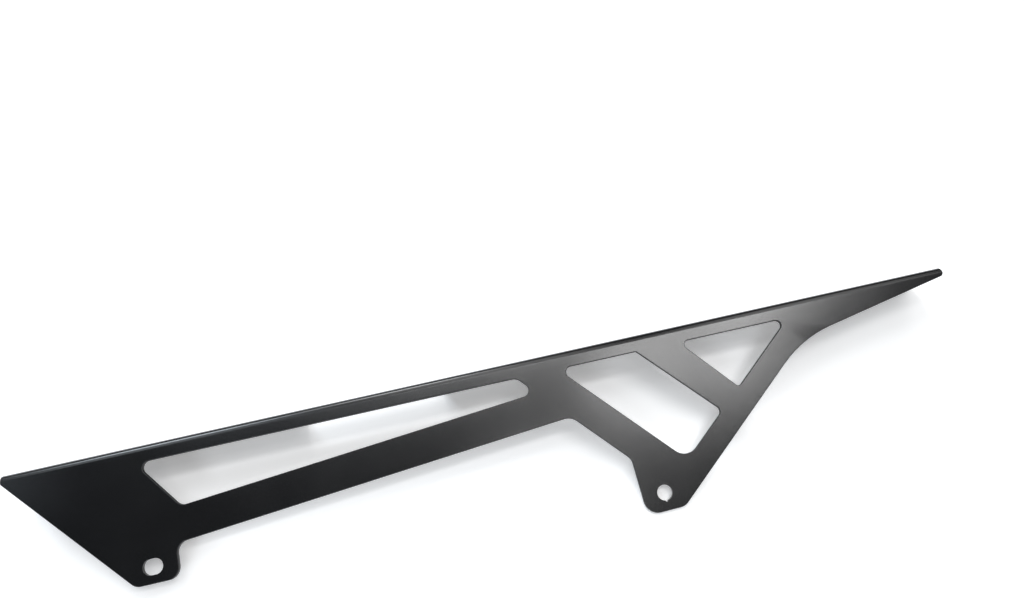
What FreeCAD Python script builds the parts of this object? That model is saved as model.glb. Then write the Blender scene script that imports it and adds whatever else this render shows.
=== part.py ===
# Motorcycle chain guard: one sheet of aluminium, laser-cut to its outline and folded once.
# The side plate covers the chain's run, and the top flange turns inwards over the chain.
# It lies as it comes to rest: on the free edge of its flange and on the foot of its rear lug,
# with +X along the fold to the pointed rear end, +Y from the lugs to the flange and +Z up.
import FreeCAD, Part
import math
import os

# Sheet and fold, in mm
LENGTH = 428.2
SHEET = 2.0
FOLD_INSIDE_RADIUS = 1.0
FLANGE_WIDTH = 31.0
FLANGE_CORNER_RADIUS = 3.0
EDGE_BREAK = 0.3
OVERCUT = 2.0

# Relief in the flange's free edge
RELIEF_START = 126.2
RELIEF_LENGTH = 66.0
RELIEF_DEPTH = 12.0
RELIEF_CORNER_RADIUS = 3.0

# Front end: a short square edge, then a long slant down to the front lug
NOSE_EDGE = 3.7
NOSE_ANGLE = 46.2
NOSE_CORNER_RADIUS = 1.5
NOSE_FOOT_RADIUS = 5.5

# Front lug, round its slotted hole
FRONT_HOLE_X = 60.5
FRONT_HOLE_DEPTH = 51.5
FRONT_LUG_BELOW_HOLE = 6.9
FRONT_LUG_BEHIND_HOLE = 10.8
FRONT_LUG_RADIUS = 5.0
FRONT_LUG_NECK_RADIUS = 4.6

# Rear lug, round its plain hole
REAR_HOLE_BEFORE_TIP = 149.9
REAR_HOLE_DEPTH = 69.3
REAR_LUG_BELOW_HOLE = 7.55
REAR_LUG_BEFORE_HOLE = 9.8
REAR_LUG_FRONT_ANGLE = 88.0
REAR_LUG_BOTTOM_ANGLE = -1.3
REAR_LUG_FRONT_RADIUS = 6.0
REAR_LUG_BACK_RADIUS = 5.5
REAR_LUG_NECK_RADIUS = 5.0

# Bolt holes: both take the same bolt, and the front one is slotted along the fold
BOLT_HOLE = 6.6
SLOT_TRAVEL = 2.0
LEAD_IN_WIDTH = 1.0
LEAD_IN_DEPTH = 0.6

# Lower bar, from the front lug to the struts
BAR_START_ABOVE_HOLE = 7.2
BAR_END_BEFORE_HOLE = 31.65
BAR_WIDTH = 14.7
BAR_END_RADIUS = 6.5

# Struts and brace behind the bar, and the pointed rear end
STRUT_ANGLE = 47.75
FRONT_STRUT_WIDTH = 14.0
REAR_STRUT_WIDTH = 14.6
BRACE_ANGLE = -39.7
BRACE_WIDTH = 10.45
BRACE_BEHIND_HOLE = 10.3
TAIL_ANGLE = -11.0
TAIL_EDGE = 3.95
TAIL_BEND_RADIUS = 57.0
TIP_ROUND_SHARE = 0.85

# Windows under the top rail
RAIL_DEPTH = 7.5
FRONT_WINDOW_X = 57.6
FRONT_WINDOW_ANGLE = 51.3
FRONT_WINDOW_REAR_HEIGHT = 7.07
MIDDLE_WINDOW_WIDTH = 26.6
REAR_WINDOW_ANGLE = 50.3
FRONT_WINDOW_SHARP_RADIUS = 2.9
FRONT_WINDOW_WIDE_RADIUS = 4.4
MIDDLE_WINDOW_FRONT_RADIUS = 2.6
MIDDLE_WINDOW_TOP_RADIUS = 0.6
MIDDLE_WINDOW_BACK_RADIUS = 2.5
MIDDLE_WINDOW_FOOT_RADIUS = 6.7
REAR_WINDOW_FRONT_RADIUS = 2.0
REAR_WINDOW_TOP_RADIUS = 2.2
REAR_WINDOW_FOOT_RADIUS = 1.6

X_AXIS = FreeCAD.Vector(1, 0, 0)
Y_AXIS = FreeCAD.Vector(0, 1, 0)
Z_AXIS = FreeCAD.Vector(0, 0, 1)
ORIGIN = FreeCAD.Vector(0, 0, 0)


# A line in the flat plate: x runs back along the fold, and depth runs down from the flange's top
def line(x, depth, angle):
    slope = math.radians(angle)
    return (x, depth, math.cos(slope), math.sin(slope))


# The parallel line that lies a distance below, or above if it is negative
def beside(base, distance):
    x, depth, along, down = base
    return (x - distance * down, depth + distance * along, along, down)


# The point where two lines cross
def meet(first, second):
    x1, d1, a1, b1 = first
    x2, d2, a2, b2 = second
    reach = ((x2 - x1) * b2 - (d2 - d1) * a2) / (a1 * b2 - b1 * a2)
    return (x1 + reach * a1, d1 + reach * b1)


# A closed wire through corner points, each with its radius, placed in 3D by a function of (x, depth)
def rounded_wire(corners, place):
    arcs = []
    for index, (point, radius) in enumerate(corners):
        corner = FreeCAD.Vector(point[0], point[1], 0)
        before = FreeCAD.Vector(*corners[index - 1][0], 0) - corner
        after = FreeCAD.Vector(*corners[(index + 1) % len(corners)][0], 0) - corner
        half_angle = before.getAngle(after) / 2
        before.normalize()
        after.normalize()
        tangent = radius / math.tan(half_angle)
        inwards = (before + after).normalize()
        start = corner + before * tangent
        middle = corner + inwards * (radius / math.sin(half_angle) - radius)
        end = corner + after * tangent
        arcs.append([place(spot.x, spot.y) for spot in (start, middle, end)])
    edges = []
    for index, (start, middle, end) in enumerate(arcs):
        edges.append(Part.Arc(start, middle, end).toShape())
        edges.append(Part.LineSegment(end, arcs[(index + 1) % len(arcs)][0]).toShape())
    return Part.Wire(edges)


# Points of the side plate and of the flange, before the sheet is laid down
def on_side(x, depth):
    return FreeCAD.Vector(x, -OVERCUT, -depth)


def on_flange(x, inwards):
    return FreeCAD.Vector(x, inwards, OVERCUT)


# Edges of the side plate. The rear lug and the struts keep their places from the rear tip.
rear_hole_x = LENGTH - REAR_HOLE_BEFORE_TIP
top = line(0, 0, 0)
rail = beside(top, RAIL_DEPTH)
nose_edge = line(0, 0, 90)
nose = line(0, NOSE_EDGE, NOSE_ANGLE)
front_lug_bottom = line(FRONT_HOLE_X, FRONT_HOLE_DEPTH + FRONT_LUG_BELOW_HOLE, 0)
front_lug_back = line(FRONT_HOLE_X + FRONT_LUG_BEHIND_HOLE, FRONT_HOLE_DEPTH, 90)
bar_start = (FRONT_HOLE_X + FRONT_LUG_BEHIND_HOLE, FRONT_HOLE_DEPTH - BAR_START_ABOVE_HOLE)
bar_end_depth = RAIL_DEPTH + FRONT_WINDOW_REAR_HEIGHT + BAR_WIDTH
bar_end = (rear_hole_x - BAR_END_BEFORE_HOLE, bar_end_depth)
bar_slope = math.atan2(bar_end[1] - bar_start[1], bar_end[0] - bar_start[0])
bar = line(*bar_start, math.degrees(bar_slope))
strut = line(*bar_end, STRUT_ANGLE)
rear_lug_front = line(rear_hole_x - REAR_LUG_BEFORE_HOLE, REAR_HOLE_DEPTH, REAR_LUG_FRONT_ANGLE)
rear_lug_bottom = line(rear_hole_x, REAR_HOLE_DEPTH + REAR_LUG_BELOW_HOLE, REAR_LUG_BOTTOM_ANGLE)
brace = beside(line(rear_hole_x, REAR_HOLE_DEPTH, BRACE_ANGLE), BRACE_BEHIND_HOLE)
tail = line(LENGTH, TAIL_EDGE, TAIL_ANGLE)
tip_edge = line(LENGTH, 0, 90)

# Edges of the windows, each beside the edge that its bar or strut keeps to.
# The front strut's lower edge runs straight up into the front window's rear edge.
window_bottom = beside(bar, -BAR_WIDTH)
front_window_front = line(FRONT_WINDOW_X, RAIL_DEPTH, FRONT_WINDOW_ANGLE)
middle_window_front = beside(strut, -FRONT_STRUT_WIDTH)
middle_window_back = beside(middle_window_front, -MIDDLE_WINDOW_WIDTH)
rear_window_front = line(*meet(rail, beside(middle_window_back, -REAR_STRUT_WIDTH)), REAR_WINDOW_ANGLE)
brace_inside = beside(brace, -BRACE_WIDTH)

# The tip's round takes a share of the end below the flange, so it never cuts into the flange
tip_half_angle = math.radians((90 - TAIL_ANGLE) / 2)
tip_radius = TIP_ROUND_SHARE * (TAIL_EDGE - SHEET) * math.tan(tip_half_angle)

side_corners = [
    ((0, -OVERCUT), OVERCUT / 4),
    ((LENGTH, -OVERCUT), OVERCUT / 4),
    (meet(tip_edge, tail), tip_radius),
    (meet(tail, brace), TAIL_BEND_RADIUS),
    (meet(brace, rear_lug_bottom), REAR_LUG_BACK_RADIUS),
    (meet(rear_lug_bottom, rear_lug_front), REAR_LUG_FRONT_RADIUS),
    (meet(rear_lug_front, strut), REAR_LUG_NECK_RADIUS),
    (bar_end, BAR_END_RADIUS),
    (meet(bar, front_lug_back), FRONT_LUG_NECK_RADIUS),
    (meet(front_lug_back, front_lug_bottom), FRONT_LUG_RADIUS),
    (meet(front_lug_bottom, nose), NOSE_FOOT_RADIUS),
    (meet(nose, nose_edge), NOSE_CORNER_RADIUS),
]
front_window_corners = [
    (meet(rail, front_window_front), FRONT_WINDOW_SHARP_RADIUS),
    (meet(rail, strut), FRONT_WINDOW_WIDE_RADIUS),
    (meet(window_bottom, strut), FRONT_WINDOW_SHARP_RADIUS),
    (meet(window_bottom, front_window_front), FRONT_WINDOW_WIDE_RADIUS),
]
middle_window_corners = [
    (meet(rail, middle_window_front), MIDDLE_WINDOW_FRONT_RADIUS),
    (meet(rail, middle_window_back), MIDDLE_WINDOW_TOP_RADIUS),
    (meet(brace_inside, middle_window_back), MIDDLE_WINDOW_BACK_RADIUS),
    (meet(brace_inside, middle_window_front), MIDDLE_WINDOW_FOOT_RADIUS),
]
rear_window_corners = [
    (meet(rail, rear_window_front), REAR_WINDOW_FRONT_RADIUS),
    (meet(rail, brace_inside), REAR_WINDOW_TOP_RADIUS),
    (meet(brace_inside, rear_window_front), REAR_WINDOW_FOOT_RADIUS),
]
relief_end = RELIEF_START + RELIEF_LENGTH
relief_top = FLANGE_WIDTH - RELIEF_DEPTH
flange_corners = [
    ((0, -OVERCUT), OVERCUT / 4),
    ((LENGTH, -OVERCUT), OVERCUT / 4),
    ((LENGTH, FLANGE_WIDTH), FLANGE_CORNER_RADIUS),
    ((relief_end, FLANGE_WIDTH), RELIEF_CORNER_RADIUS),
    ((relief_end, relief_top), RELIEF_CORNER_RADIUS),
    ((RELIEF_START, relief_top), RELIEF_CORNER_RADIUS),
    ((RELIEF_START, FLANGE_WIDTH), RELIEF_CORNER_RADIUS),
    ((0, FLANGE_WIDTH), FLANGE_CORNER_RADIUS),
]

# The deepest point of the rear lug is on its front corner, and the guard rests there
lug_bottom_inside = beside(rear_lug_bottom, -REAR_LUG_FRONT_RADIUS)
lug_front_inside = beside(rear_lug_front, -REAR_LUG_FRONT_RADIUS)
deepest = meet(lug_bottom_inside, lug_front_inside)[1] + REAR_LUG_FRONT_RADIUS


# The folded section, with its inner and outer bend, run past both ends of the guard
def folded_strip():
    outer = FOLD_INSIDE_RADIUS + SHEET
    inner = FOLD_INSIDE_RADIUS
    half_turn = math.sqrt(0.5)
    start = -OVERCUT
    side_foot = -(deepest + OVERCUT)
    flange_edge = FLANGE_WIDTH + OVERCUT

    def spot(inwards, height):
        return FreeCAD.Vector(start, inwards, height)

    outer_bend = Part.Arc(
        spot(0, -outer),
        spot(outer - outer * half_turn, -outer + outer * half_turn),
        spot(outer, 0),
    )
    inner_bend = Part.Arc(
        spot(outer, -SHEET),
        spot(outer - inner * half_turn, -outer + inner * half_turn),
        spot(SHEET, -outer),
    )
    section = Part.Wire([
        Part.LineSegment(spot(0, side_foot), spot(0, -outer)).toShape(),
        outer_bend.toShape(),
        Part.LineSegment(spot(outer, 0), spot(flange_edge, 0)).toShape(),
        Part.LineSegment(spot(flange_edge, 0), spot(flange_edge, -SHEET)).toShape(),
        Part.LineSegment(spot(flange_edge, -SHEET), spot(outer, -SHEET)).toShape(),
        inner_bend.toShape(),
        Part.LineSegment(spot(SHEET, -outer), spot(SHEET, side_foot)).toShape(),
        Part.LineSegment(spot(SHEET, side_foot), spot(0, side_foot)).toShape(),
    ])
    return Part.Face(section).extrude(X_AXIS * (LENGTH + 2 * OVERCUT))


# Cutters through the side plate and through the flange, each past both faces
def side_cutter(corners):
    wire = rounded_wire(corners, on_side)
    return Part.Face(wire).extrude(Y_AXIS * (FLANGE_WIDTH + 3 * OVERCUT))


def flange_cutter(corners):
    wire = rounded_wire(corners, on_flange)
    return Part.Face(wire).extrude(Z_AXIS * -(deepest + 3 * OVERCUT))


# A slot in the side plate: two round ends, set apart along the fold or down the plate
def slot_cutter(x, depth, width, along=0, down=0):
    reach = SHEET + 2 * OVERCUT
    front = Part.makeCylinder(width / 2, reach, on_side(x, depth), Y_AXIS)
    back = Part.makeCylinder(width / 2, reach, on_side(x + along, depth + down), Y_AXIS)
    if along:
        middle = Part.makeBox(along, reach, width, on_side(x, depth + width / 2))
    else:
        middle = Part.makeBox(width, reach, down, on_side(x - width / 2, depth + down))
    return front.fuse([back, middle])


# The rims of the sheet: the edges where a flat or bent face meets a cut edge
def rims(solid):
    found = []
    for edge in solid.Edges:
        first, second = solid.ancestorsOfType(edge, Part.Face)
        spot = edge.valueAt((edge.FirstParameter + edge.LastParameter) / 2)
        normals = [face.normalAt(*face.Surface.parameter(spot)) for face in (first, second)]
        if normals[0].getAngle(normals[1]) > math.radians(45):
            found.append(edge)
    return found


guard = folded_strip().common(side_cutter(side_corners)).common(flange_cutter(flange_corners))
for corners in (front_window_corners, middle_window_corners, rear_window_corners):
    guard = guard.cut(side_cutter(corners))
guard = guard.Solids[0]
guard = guard.makeChamfer(EDGE_BREAK, rims(guard))

# Bolt holes, cut after the edges are broken so that the bolt heads keep a full seat.
# The rear one keeps the small nick at its foot where the cutting beam led in.
slot_start = FRONT_HOLE_X - SLOT_TRAVEL / 2
guard = guard.cut(slot_cutter(slot_start, FRONT_HOLE_DEPTH, BOLT_HOLE, along=SLOT_TRAVEL))
rear_centre = on_side(rear_hole_x, REAR_HOLE_DEPTH)
guard = guard.cut(Part.makeCylinder(BOLT_HOLE / 2, SHEET + 2 * OVERCUT, rear_centre, Y_AXIS))
lead_in = BOLT_HOLE / 2 + LEAD_IN_DEPTH - LEAD_IN_WIDTH / 2
guard = guard.cut(slot_cutter(rear_hole_x, REAR_HOLE_DEPTH, LEAD_IN_WIDTH, down=lead_in))
guard = guard.Solids[0]

# Laid down: the plate leans until its rear lug and the flange's free edge both touch the ground
lean = math.degrees(math.atan((FLANGE_WIDTH - SHEET) / (deepest - SHEET)))
guard.rotate(ORIGIN, X_AXIS, lean - 90)
box = guard.optimalBoundingBox(False, False)
guard.translate(FreeCAD.Vector(-box.Center.x, -box.Center.y, -box.ZMin))

os.makedirs("parts", exist_ok=True)
guard.exportStep("parts/chain_guard.step")
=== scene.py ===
import bmesh
import bpy
import math
from mathutils import Matrix, Vector


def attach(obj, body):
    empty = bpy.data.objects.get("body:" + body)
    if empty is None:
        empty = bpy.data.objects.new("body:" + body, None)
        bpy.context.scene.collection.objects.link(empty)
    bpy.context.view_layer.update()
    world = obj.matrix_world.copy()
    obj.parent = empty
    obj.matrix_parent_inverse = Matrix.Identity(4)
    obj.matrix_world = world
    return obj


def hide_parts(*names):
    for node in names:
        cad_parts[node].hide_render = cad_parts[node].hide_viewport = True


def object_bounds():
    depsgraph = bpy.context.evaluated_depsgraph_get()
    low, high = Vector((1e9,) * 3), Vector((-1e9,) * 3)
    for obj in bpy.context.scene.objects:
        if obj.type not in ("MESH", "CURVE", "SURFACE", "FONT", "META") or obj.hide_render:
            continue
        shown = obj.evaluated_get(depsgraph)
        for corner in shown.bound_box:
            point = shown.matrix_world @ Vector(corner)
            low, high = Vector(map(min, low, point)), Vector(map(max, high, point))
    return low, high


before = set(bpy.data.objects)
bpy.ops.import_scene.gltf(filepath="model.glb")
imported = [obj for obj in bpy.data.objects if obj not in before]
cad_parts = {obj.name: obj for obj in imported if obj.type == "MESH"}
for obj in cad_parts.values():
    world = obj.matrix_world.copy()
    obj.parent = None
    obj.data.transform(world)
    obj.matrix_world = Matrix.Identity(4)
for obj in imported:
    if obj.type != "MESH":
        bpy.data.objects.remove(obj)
cad_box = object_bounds()

# The chain guard: one sheet of aluminium, laser-cut and folded once over the chain.
# Its cut edges are broken and then rounded a little more by the coat, and the bolt
# holes are cut square, so only the coat softens their rims.
SHEET = 0.002
FOLD_INSIDE_RADIUS = 0.001
FLANGE_WIDTH = 0.031
EDGE_BREAK = 0.0003
LEAN = math.radians(21.157)
COAT_ON_RIM = 0.00012
SQUARE_EDGE = math.radians(60)
SAME_POINT = 0.000001
SAME_FACE = math.radians(0.2)
EDGE_DEPTH_SHARE = 0.95

# The outer faces of plate and flange would meet at this corner if the fold were sharp.
# The flange's free edge stands on the table and reaches the farthest back.
farthest_back = cad_box[1][1]
fold_corner_y = farthest_back - (FLANGE_WIDTH - EDGE_BREAK) * math.sin(LEAN)
fold_corner_z = FLANGE_WIDTH * math.cos(LEAN) + (SHEET - EDGE_BREAK) * math.sin(LEAN)
fold_outside_radius = FOLD_INSIDE_RADIUS + SHEET
half_sheet = SHEET / 2

guard_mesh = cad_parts["chain_guard"].data.copy()
guard_mesh.name = "guard_sheet"
sheet = bmesh.new()
sheet.from_mesh(guard_mesh)
bmesh.ops.remove_doubles(sheet, verts=sheet.verts, dist=SAME_POINT)
bmesh.ops.dissolve_limit(sheet, angle_limit=SAME_FACE, verts=sheet.verts, edges=sheet.edges)
bmesh.ops.recalc_face_normals(sheet, faces=sheet.faces)


# How far a point lies from the middle of the sheet, which is flat, then bent, then flat
def off_middle(point):
    y = point.y - fold_corner_y
    z = point.z - fold_corner_z
    across = y * math.sin(LEAN) - z * math.cos(LEAN)
    down = -y * math.cos(LEAN) - z * math.sin(LEAN)
    if down > fold_outside_radius:
        return abs(across - half_sheet)
    if across > fold_outside_radius:
        return abs(down - half_sheet)
    from_centre = math.hypot(across - fold_outside_radius, down - fold_outside_radius)
    return abs(from_centre - fold_outside_radius + half_sheet)


# Marks the cut edges and their breaks, where the coat is thinner and duller
cut_mark = sheet.faces.layers.float.new("cut_edge")
for face in sheet.faces:
    nearest = min(off_middle(corner.co) for corner in face.verts)
    face[cut_mark] = float(nearest < EDGE_DEPTH_SHARE * half_sheet)
sheet.to_mesh(guard_mesh)
sheet.free()
guard_mesh.shade_smooth()
guard = bpy.data.objects.new("guard_sheet", guard_mesh)
bpy.context.scene.collection.objects.link(guard)

rim = guard.modifiers.new("coat on the hole rims", "BEVEL")
rim.limit_method = "ANGLE"
rim.angle_limit = SQUARE_EDGE
rim.width = COAT_ON_RIM
rim.segments = 2
flats = guard.modifiers.new("flat faces stay flat", "WEIGHTED_NORMAL")
flats.weight = 80
flats.keep_sharp = False


# A socket of a material's node tree, so that the coat's patterns are written as plain sums
class Pattern:
    def __init__(self, tree, socket):
        self.tree = tree
        self.socket = socket

    def node(self, kind, settings=None, inputs=None, out=0):
        made = self.tree.nodes.new(kind)
        for name, value in (settings or {}).items():
            setattr(made, name, value)
        for name, value in (inputs or {}).items():
            if isinstance(value, Pattern):
                self.tree.links.new(value.socket, made.inputs[name])
            else:
                made.inputs[name].default_value = value
        return Pattern(self.tree, made.outputs[out])

    def maths(self, operation, first, second):
        return self.node("ShaderNodeMath", {"operation": operation}, {0: first, 1: second})

    def __add__(self, other):
        return self.maths("ADD", self, other)

    def __mul__(self, other):
        return self.maths("MULTIPLY", self, other)

    __radd__ = __add__
    __rmul__ = __mul__


# The satin black powder coat: a thin baked plastic skin with a fine pebbled face,
# a slow waviness from the spray, and a gloss that changes a little from place to place.
# It is duller on the cut edges.
PEBBLES_PER_METRE = 1600.0
WAVES_PER_METRE = 260.0
PATCHES_PER_METRE = 35.0
PEBBLE_SHARE = 0.45
SKIN_DEPTH = 0.00004
LEAST_ROUGHNESS = 0.18
PATCH_ROUGHNESS = 0.06
EDGE_ROUGHNESS = 0.22
DEEP_BLACK = (0.0040, 0.0042, 0.0048, 1.0)
PALE_BLACK = (0.0056, 0.0057, 0.0062, 1.0)
COAT_IOR = 1.6

coat = bpy.data.materials.new("satin black powder coat")
coat.use_nodes = True
coat_tree = coat.node_tree
coat_shader = coat_tree.nodes["Principled BSDF"]
place = Pattern(coat_tree, coat_tree.nodes.new("ShaderNodeTexCoord").outputs["Object"])
pebble = {"Vector": place, "Scale": PEBBLES_PER_METRE, "Detail": 2.0, "Roughness": 0.5}
wave = {"Vector": place, "Scale": WAVES_PER_METRE, "Detail": 1.0, "Roughness": 0.4}
patch = {"Vector": place, "Scale": PATCHES_PER_METRE, "Detail": 3.0, "Roughness": 0.55}
pebbles = place.node("ShaderNodeTexNoise", None, pebble)
waves = place.node("ShaderNodeTexNoise", None, wave)
patches = place.node("ShaderNodeTexNoise", None, patch)
skin = PEBBLE_SHARE * pebbles + (1 - PEBBLE_SHARE) * waves
relief = place.node("ShaderNodeBump", None, {"Height": skin, "Strength": 0.35, "Distance": SKIN_DEPTH})
cut_edge = place.node("ShaderNodeAttribute", {"attribute_name": "cut_edge"}, None, 2)
roughness = LEAST_ROUGHNESS + PATCH_ROUGHNESS * patches + EDGE_ROUGHNESS * cut_edge
blacks = {"Factor": patches, "A": DEEP_BLACK, "B": PALE_BLACK}
tone = place.node("ShaderNodeMix", {"data_type": "RGBA"}, blacks, 2)
coat_tree.links.new(tone.socket, coat_shader.inputs["Base Color"])
coat_tree.links.new(roughness.socket, coat_shader.inputs["Roughness"])
coat_tree.links.new(relief.socket, coat_shader.inputs["Normal"])
coat_shader.inputs["IOR"].default_value = COAT_IOR
guard_mesh.materials.clear()
guard_mesh.materials.append(coat)
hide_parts("chain_guard")
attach(guard, "root")

# The white paper table under the guard, with its far edges out of the photo's view.
# It glows a little for the camera, in the coat and through anything clear, as bright
# paper does, and keeps the guard's soft shadow.
TABLE_HALF = 3.0
TABLE_WHITE = 0.9
TABLE_GLOW = 0.33

table_mesh = bpy.data.meshes.new("table")
table_corners = [(TABLE_HALF * x, TABLE_HALF * y, 0) for x, y in ((-1, -1), (1, -1), (1, 1), (-1, 1))]
table_mesh.from_pydata(table_corners, [], [(0, 1, 2, 3)])
table = bpy.data.objects.new("table", table_mesh)
bpy.context.scene.collection.objects.link(table)
paper = bpy.data.materials.new("white table")
paper.use_nodes = True
paper_shader = paper.node_tree.nodes["Principled BSDF"]
paper_shader.inputs["Base Color"].default_value = (TABLE_WHITE, TABLE_WHITE, TABLE_WHITE, 1.0)
paper_shader.inputs["Roughness"].default_value = 0.8
paper_shader.inputs["Specular IOR Level"].default_value = 0.0
paper_shader.inputs["Emission Strength"].default_value = TABLE_GLOW
seen_by = paper.node_tree.nodes.new("ShaderNodeLightPath")
seen = Pattern(paper.node_tree, seen_by.outputs["Is Camera Ray"])
mirrored = Pattern(paper.node_tree, seen_by.outputs["Is Glossy Ray"])
through = Pattern(paper.node_tree, seen_by.outputs["Is Transmission Ray"])
glow = seen + mirrored + through
paper.node_tree.links.new(glow.socket, paper_shader.inputs["Emission Color"])
table_mesh.materials.append(paper)

# The lamps over the table are round soft panels that face the guard. Each is given by
# how far it stands to the tail's side and behind, as shares of the lamps' distance,
# by the half-angle that the guard sees, and by its brightness. The side plate mirrors
# the front edge of one long lamp, which is brightest over the tail. The light is a
# little cooler on the nose's side. The brightness of the long lamp, of its edges and
# of the fill was solved for from how the plate shades in the photo, and then rounded.
LAMP_DISTANCE = 1.6
NOSE_COOLNESS = 0.18
LONG_LAMP_BEHIND = -0.12
LONG_LAMP_HALF_ANGLE = 4.0
LONG_LAMP = [
    (-0.66, 1.4), (-0.40, 1.2), (-0.24, 3), (-0.10, 7), (0.04, 12),
    (0.18, 6), (0.30, 8), (0.40, 16), (0.48, 4),
]
lamps = []
for aside, brightness in LONG_LAMP:
    lamps.append(("long lamp", aside, LONG_LAMP_BEHIND, LONG_LAMP_HALF_ANGLE, brightness))
lamps += [
    ("edge of the long lamp, tail side", 0.36, -0.25, 4.0, 8.0),
    ("edge of the long lamp, middle", 0.22, -0.25, 4.0, 10.7),
    ("fill over the bar", 0.05, -0.42, 4.0, 8.0),
    ("soft lamp over the flange", 0.00, 0.28, 12.0, 2.1),
    ("soft lamp over the nose", -0.45, 0.20, 12.0, 1.7),
    ("soft lamp over the tail's flange", 0.45, 0.20, 12.0, 2.2),
    ("soft lamp behind the middle", 0.00, 0.62, 11.0, 2.1),
    ("soft lamp behind the nose", -0.45, 0.58, 11.0, 2.1),
    ("soft lamp behind the tail", 0.45, 0.55, 11.0, 1.7),
    ("bright lamp behind the middle", -0.13, 0.77, 8.0, 9.5),
    ("bright lamp behind the nose", -0.44, 0.66, 8.0, 8.0),
    ("low lamp at the front left", -0.82, -0.48, 16.0, 1.5),
    ("lamp in front", -0.31, -0.67, 9.0, 7.0),
]
for name, aside, behind, half_angle, brightness in lamps:
    lamp = bpy.data.lights.new(name, "AREA")
    lamp.shape = "DISK"
    lamp.size = 2 * LAMP_DISTANCE * math.tan(math.radians(half_angle))
    lamp.energy = brightness * math.pi * math.pi * (lamp.size / 2) ** 2
    coolness = NOSE_COOLNESS * max(0, -aside)
    lamp.color = (1 - coolness, 1, 1 + coolness)
    panel = bpy.data.objects.new(name, lamp)
    direction = Vector((aside, behind, math.sqrt(1 - aside**2 - behind**2)))
    panel.location = direction * LAMP_DISTANCE
    panel.rotation_euler = direction.to_track_quat("Z", "Y").to_euler()
    bpy.context.scene.collection.objects.link(panel)

# The dim walls around the table, so dark that the coat hardly mirrors them.
WALL_GREY = (0.02, 0.02, 0.02, 1.0)

world = bpy.data.worlds.new("dim tent walls")
world.use_nodes = True
world.node_tree.nodes["Background"].inputs["Color"].default_value = WALL_GREY
world.node_tree.nodes["Background"].inputs["Strength"].default_value = 1.0
bpy.context.scene.world = world

# The camera looks down over the lugs at the side plate, turned a little to one side.
# Its place and directions were fitted to the photo. Its focal length is in the
# picture's pixels.
CAMERA_PLACE = Vector((0.002026, -0.135587, 0.325719))
CAMERA_RIGHT = Vector((0.975793, -0.203953, -0.078932))
CAMERA_UP = Vector((0.213130, 0.805964, 0.552265))
IMAGE_WIDTH = 1024
FOCAL_LENGTH = 760
SENSOR_WIDTH = 36.0
HALF_PIXEL = 0.5 / IMAGE_WIDTH

lens = bpy.data.cameras.new("camera")
lens.sensor_fit = "HORIZONTAL"
lens.sensor_width = SENSOR_WIDTH
lens.lens = SENSOR_WIDTH * FOCAL_LENGTH / IMAGE_WIDTH
lens.shift_x = -HALF_PIXEL
lens.shift_y = HALF_PIXEL
lens.clip_start = 0.01
camera = bpy.data.objects.new("camera", lens)
back = CAMERA_RIGHT.cross(CAMERA_UP)
turn = Matrix((CAMERA_RIGHT, CAMERA_UP, back)).transposed().to_4x4()
camera.matrix_world = Matrix.Translation(CAMERA_PLACE) @ turn
bpy.context.scene.collection.objects.link(camera)
bpy.context.scene.camera = camera
bpy.context.scene.view_settings.view_transform = "Standard"
